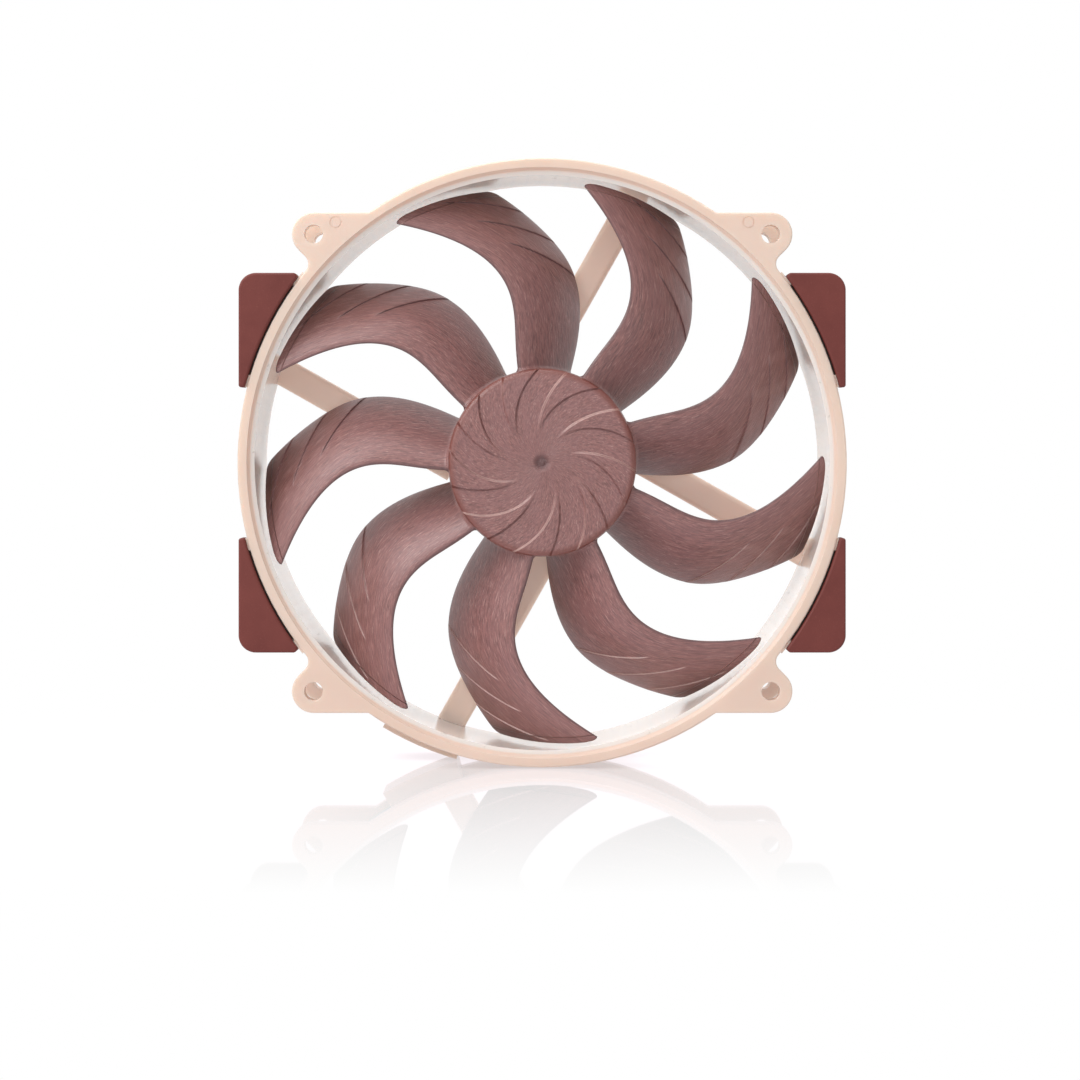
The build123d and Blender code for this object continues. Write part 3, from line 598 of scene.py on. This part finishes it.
def moulded(name, first, second, rough, grain):
    """Small moulded parts and coated wires: cloudy colour, fine grain and scuffs."""
    n = Nodes(bpy.data.materials.new(name))
    where = n.coordinates()
    cloud = n.noise(where, 150, detail=4)
    fine = n.noise(where, grain, detail=3)
    streak_noise = n.noise(n.stretch(where, (400, 2200, 400)), detail=3, warp=0.8)
    base = n.mix(n.span(cloud, 0.3, 0.7), colour(*first), colour(*second))
    even = n.span(cloud, 0.3, 0.7, rough - 0.06, rough + 0.06)
    shine = n.math("ADD", even, n.span(streak_noise, 0.55, 0.75, 0.0, 0.15))
    n.set(Base_Color=base, Roughness=shine, Normal=n.bump(fine, 0.00002))
    n.shader.inputs["Specular IOR Level"].default_value = 0.4
    return n.owner


def enamelled_copper(name):
    """Wound magnet wire: turns shown by a fine wave round the coil."""
    n = Nodes(bpy.data.materials.new(name))
    where = n.coordinates()
    x, _, z = n.parts(where)
    radius = n.axis_distance(x, z)
    turns = n.math("SINE", n.math("MULTIPLY", radius, 2 * pi / (0.2 * MM)))
    cloud = n.noise(where, 700, detail=4)
    base = n.mix(n.span(cloud, 0.3, 0.7), colour(168, 84, 42), colour(196, 110, 60))
    base = n.mix(n.span(turns, -1.0, -0.3, 0.7, 0.0), base, colour(70, 30, 16))
    shine = n.span(cloud, 0.3, 0.7, 0.25, 0.4)
    n.set(Base_Color=base, Metallic=0.85, Roughness=shine, Normal=n.bump(turns, 0.00005))
    return n.owner


def board_laminate(name):
    """Green board: weave under the mask and a few copper-coloured traces."""
    n = Nodes(bpy.data.materials.new(name))
    where = n.coordinates()
    x, _, z = n.parts(where)
    weave = n.math(
        "MULTIPLY",
        n.math("SINE", n.math("MULTIPLY", x, 2 * pi / (0.5 * MM))),
        n.math("SINE", n.math("MULTIPLY", z, 2 * pi / (0.5 * MM))),
    )
    blotch = n.noise(where, 420, detail=1)
    trace = n.span(n.math("ABSOLUTE", n.math("SUBTRACT", blotch, 0.5)), 0.008, 0.02, 1.0, 0.0)
    base = n.mix(n.span(weave, -1, 1), colour(24, 74, 44), colour(34, 92, 56))
    base = n.mix(n.math("MULTIPLY", trace, 0.6), base, colour(74, 140, 84))
    n.set(Base_Color=base, Roughness=n.span(weave, -1, 1, 0.25, 0.4), Normal=n.bump(trace, 0.00004))
    return n.owner


def label_film(name):
    """A blank round label: a plain band round the edge and a few plain bars, with no lettering."""
    n = Nodes(bpy.data.materials.new(name))
    where = n.coordinates()
    x, _, z = n.parts(where)
    radius = n.axis_distance(x, z)
    band = n.within(radius, 16.2 * MM, 17.0 * MM)
    wave = n.math("ABSOLUTE", n.math("SINE", n.math("MULTIPLY", z, pi / (3.2 * MM))))
    bar = n.span(wave, 0.93, 0.96)
    for side, reach in ((x, 8.0 * MM), (z, 9.0 * MM)):
        inside = n.span(n.math("ABSOLUTE", side), reach, reach + 0.1 * MM, 1.0, 0.0)
        bar = n.math("MULTIPLY", bar, inside)
    ink = n.math("MAXIMUM", band, bar)
    cloud = n.noise(where, 240, detail=4)
    fine = n.noise(where, 3000, detail=2)
    base = n.mix(n.span(cloud, 0.3, 0.7), colour(98, 62, 56), colour(108, 70, 64))
    base = n.mix(ink, base, colour(226, 200, 184))
    n.set(Base_Color=base, Roughness=n.span(cloud, 0.3, 0.7, 0.22, 0.36), Normal=n.bump(fine, 0.00001))
    return n.owner


# Metals: two colours, where between them the lines change over, the lines' stretch, and roughness.
LINES_ROUND = (300, 9000, 300)
METALS = {
    "yoke_steel": ((168, 168, 165), (190, 190, 186), 0.3, 0.7, LINES_ROUND, (0.25, 0.4)),
    "hardened_steel": ((200, 200, 202), (225, 225, 228), 0.3, 0.7, LINES_ROUND, (0.12, 0.2)),
    "brass": ((190, 156, 84), (216, 184, 110), 0.3, 0.7, LINES_ROUND, (0.25, 0.4)),
    "sintered_bronze": ((120, 84, 50), (170, 126, 82), 0.35, 0.65, (5000, 5000, 5000), (0.4, 0.6)),
    "lamination_steel": ((110, 112, 115), (150, 152, 155), 0.4, 0.6, (200, 6000, 200), (0.3, 0.5)),
    "tinned_metal": ((188, 186, 178), (212, 210, 204), 0.3, 0.7, (1500, 1500, 1500), (0.25, 0.4)),
}
# Moulded parts and wires: two colours, roughness and grain.
MOULDINGS = {
    "bonded_magnet": ((50, 47, 46), (66, 61, 58), 0.55, 3000),
    "nylon": ((222, 216, 200), (234, 229, 216), 0.45, 3000),
    "seal_rubber": ((34, 32, 32), (46, 44, 43), 0.7, 3000),
    "insulator_plastic": ((226, 222, 208), (238, 235, 224), 0.45, 3000),
    "chip_epoxy": ((28, 28, 30), (40, 40, 42), 0.6, 5000),
    "component_ceramic": ((120, 96, 70), (150, 124, 94), 0.5, 6000),
    "connector_plastic": ((22, 22, 24), (34, 34, 36), 0.5, 3000),
    "wire_black": ((20, 20, 22), (32, 32, 34), 0.45, 3000),
    "wire_yellow": ((214, 176, 48), (228, 192, 66), 0.42, 3000),
    "wire_green": ((44, 118, 62), (60, 136, 78), 0.42, 3000),
    "wire_blue": ((36, 74, 146), (50, 92, 164), 0.42, 3000),
}
SPECIAL = {
    "frame_plastic": frame_plastic,
    "impeller_composite": blade_look,
    "pad_silicone": pad_silicone,
    "enamelled_copper": enamelled_copper,
    "board_laminate": board_laminate,
    "label_film": label_film,
}


def material(slot):
    """The material of one slot in the record."""
    name = slot + "_look"
    if slot in METALS:
        return metal(name, *METALS[slot])
    if slot in MOULDINGS:
        return moulded(name, *MOULDINGS[slot])
    return SPECIAL[slot](name)


def paint():
    """Gives every CAD node the material of its slot in the record."""
    made = {}
    for part in frame["record"]["subparts"]:
        slot = part["material_slot"]
        if slot not in made:
            made[slot] = material(slot)
        node = frame["nodes"][part["node"]]
        node.data.materials.clear()
        node.data.materials.append(made[slot])
    return made


def build_impeller(look):
    """The hub and its nine blades, which stand for the CAD impeller."""
    hub = hub_mesh("hub")
    first = blade_mesh("blade_1")
    blades = [first]
    for index in range(1, BLADES):
        blade = first.copy()
        blade.name = f"blade_{index + 1}"
        blade.rotation_euler = (0, -radians(index * 360 / BLADES), 0)
        bpy.context.scene.collection.objects.link(blade)
        blades.append(blade)
    first.data.materials.append(look)
    hub.data.materials.append(hub_look("hub_look"))
    for piece in [hub, *blades]:
        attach(piece, "rotor")
        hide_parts("impeller")


# ---- studio ------------------------------------------------------------------------------------
def floor_look():
    """Glowing white, with a soft contact shadow and a mirror image that fades away from the fan.

    The mirror is left out of steep views, where it would show a lamp.
    """
    n = Nodes(bpy.data.materials.new("studio_floor"), shader="ShaderNodeEmission")
    x, y, _ = n.parts(n.coordinates())
    seen = n.add("ShaderNodeLightPath").outputs["Is Camera Ray"]
    contact = n.add("ShaderNodeAmbientOcclusion")
    contact.inputs["Distance"].default_value = CONTACT_REACH
    shade = n.span(contact.outputs["AO"], 0.2, 0.8, 0.75, 1.0)
    n.link(n.span(seen, 0.0, 1.0, FLOOR_BOUNCE, shade), n.shader.inputs["Strength"])
    n.shader.inputs["Color"].default_value = (1, 1, 1, 1)
    mirror = n.add("ShaderNodeBsdfGlossy")
    mirror.inputs["Color"].default_value = (1.0, 0.84, 0.9, 1)
    mirror.inputs["Roughness"].default_value = 0.03
    blend = n.add("ShaderNodeMixShader")
    near = n.span(y, frame_low.y - 135 * MM, frame_low.y, 0.0, MIRROR)
    near = n.math("MULTIPLY", near, n.span(y, frame_high.y, frame_high.y + 80 * MM, 1.0, 0.0))
    near = n.math("MULTIPLY", near, n.span(n.math("ABSOLUTE", x), 90 * MM, 160 * MM, 1.0, 0.0))
    towards_camera = n.add("ShaderNodeNewGeometry").outputs["Incoming"]
    low_view = n.span(n.parts(towards_camera)[2], 0.5, 0.8, 1.0, 0.0)
    near = n.math("MULTIPLY", near, n.span(seen, 0.0, 1.0, 1.0, low_view))
    n.link(near, blend.inputs[0])
    n.link(n.shader.outputs[0], blend.inputs[1])
    n.link(mirror.outputs[0], blend.inputs[2])
    n.link(blend.outputs[0], n.output.inputs[0])
    return n.owner


def studio_floor():
    """A wide level square just under the rim."""
    level, reach = frame_low.z - 0.2 * MM, 4.0
    square = ((-1, -1), (1, -1), (1, 1), (-1, 1))
    mesh = bpy.data.meshes.new("floor")
    mesh.from_pydata([(x * reach, y * reach, level) for x, y in square], [], [(0, 1, 2, 3)])
    mesh.materials.append(floor_look())
    floor = bpy.data.objects.new("floor", mesh)
    bpy.context.scene.collection.objects.link(floor)


def area_light(name, place, size, power):
    """A square soft lamp that points at the middle of the fan."""
    light = bpy.data.lights.new(name, "AREA")
    light.size = size
    light.energy = power
    lamp = bpy.data.objects.new(name, light)
    lamp.location = place
    lamp.rotation_euler = (-Vector(place)).to_track_quat("-Z", "Y").to_euler()
    bpy.context.scene.collection.objects.link(lamp)


def studio_light():
    """White to the camera and behind the fan; a dimmer room in front, brightest at the upper left."""
    world = bpy.data.worlds.new("studio")
    bpy.context.scene.world = world
    n = Nodes(world, "ShaderNodeOutputWorld", "ShaderNodeBackground")
    direction = n.add("ShaderNodeTexCoord").outputs["Generated"]
    room = n.span(n.dot(direction, BRIGHT_SIDE), -0.6, 1.0, *ROOM_RANGE)
    behind = n.span(n.parts(direction)[1], 0.05, 0.35, 0.0, BACKDROP)
    seen = n.add("ShaderNodeLightPath").outputs["Is Camera Ray"]
    n.link(n.span(seen, 0.0, 1.0, n.math("MAXIMUM", room, behind), 1.0), n.shader.inputs["Strength"])
    n.shader.inputs["Color"].default_value = (1, 1, 1, 1)
    area_light("key", (-0.42, -0.35, 0.42), 0.35, KEY_POWER)
    area_light("top", (-0.12, -0.05, 0.8), 0.5, TOP_POWER)


def camera():
    """Level with a point just above the hub, half a metre in front of the intake face."""
    data = bpy.data.cameras.new("camera")
    data.sensor_width = 36.0
    data.lens = 72.6
    data.shift_x = -0.0020
    data.shift_y = -0.0998
    data.clip_start = 0.01
    data.clip_end = 50.0
    eye = bpy.data.objects.new("camera", data)
    eye.location = (0.0, frame_low.y - 0.5, 0.007)
    eye.rotation_euler = (radians(90), 0, 0)
    bpy.context.scene.collection.objects.link(eye)
    bpy.context.scene.camera = eye


looks = paint()
build_impeller(looks["impeller_composite"])
studio_floor()
studio_light()
camera()
bpy.context.scene.view_settings.view_transform = "Standard"
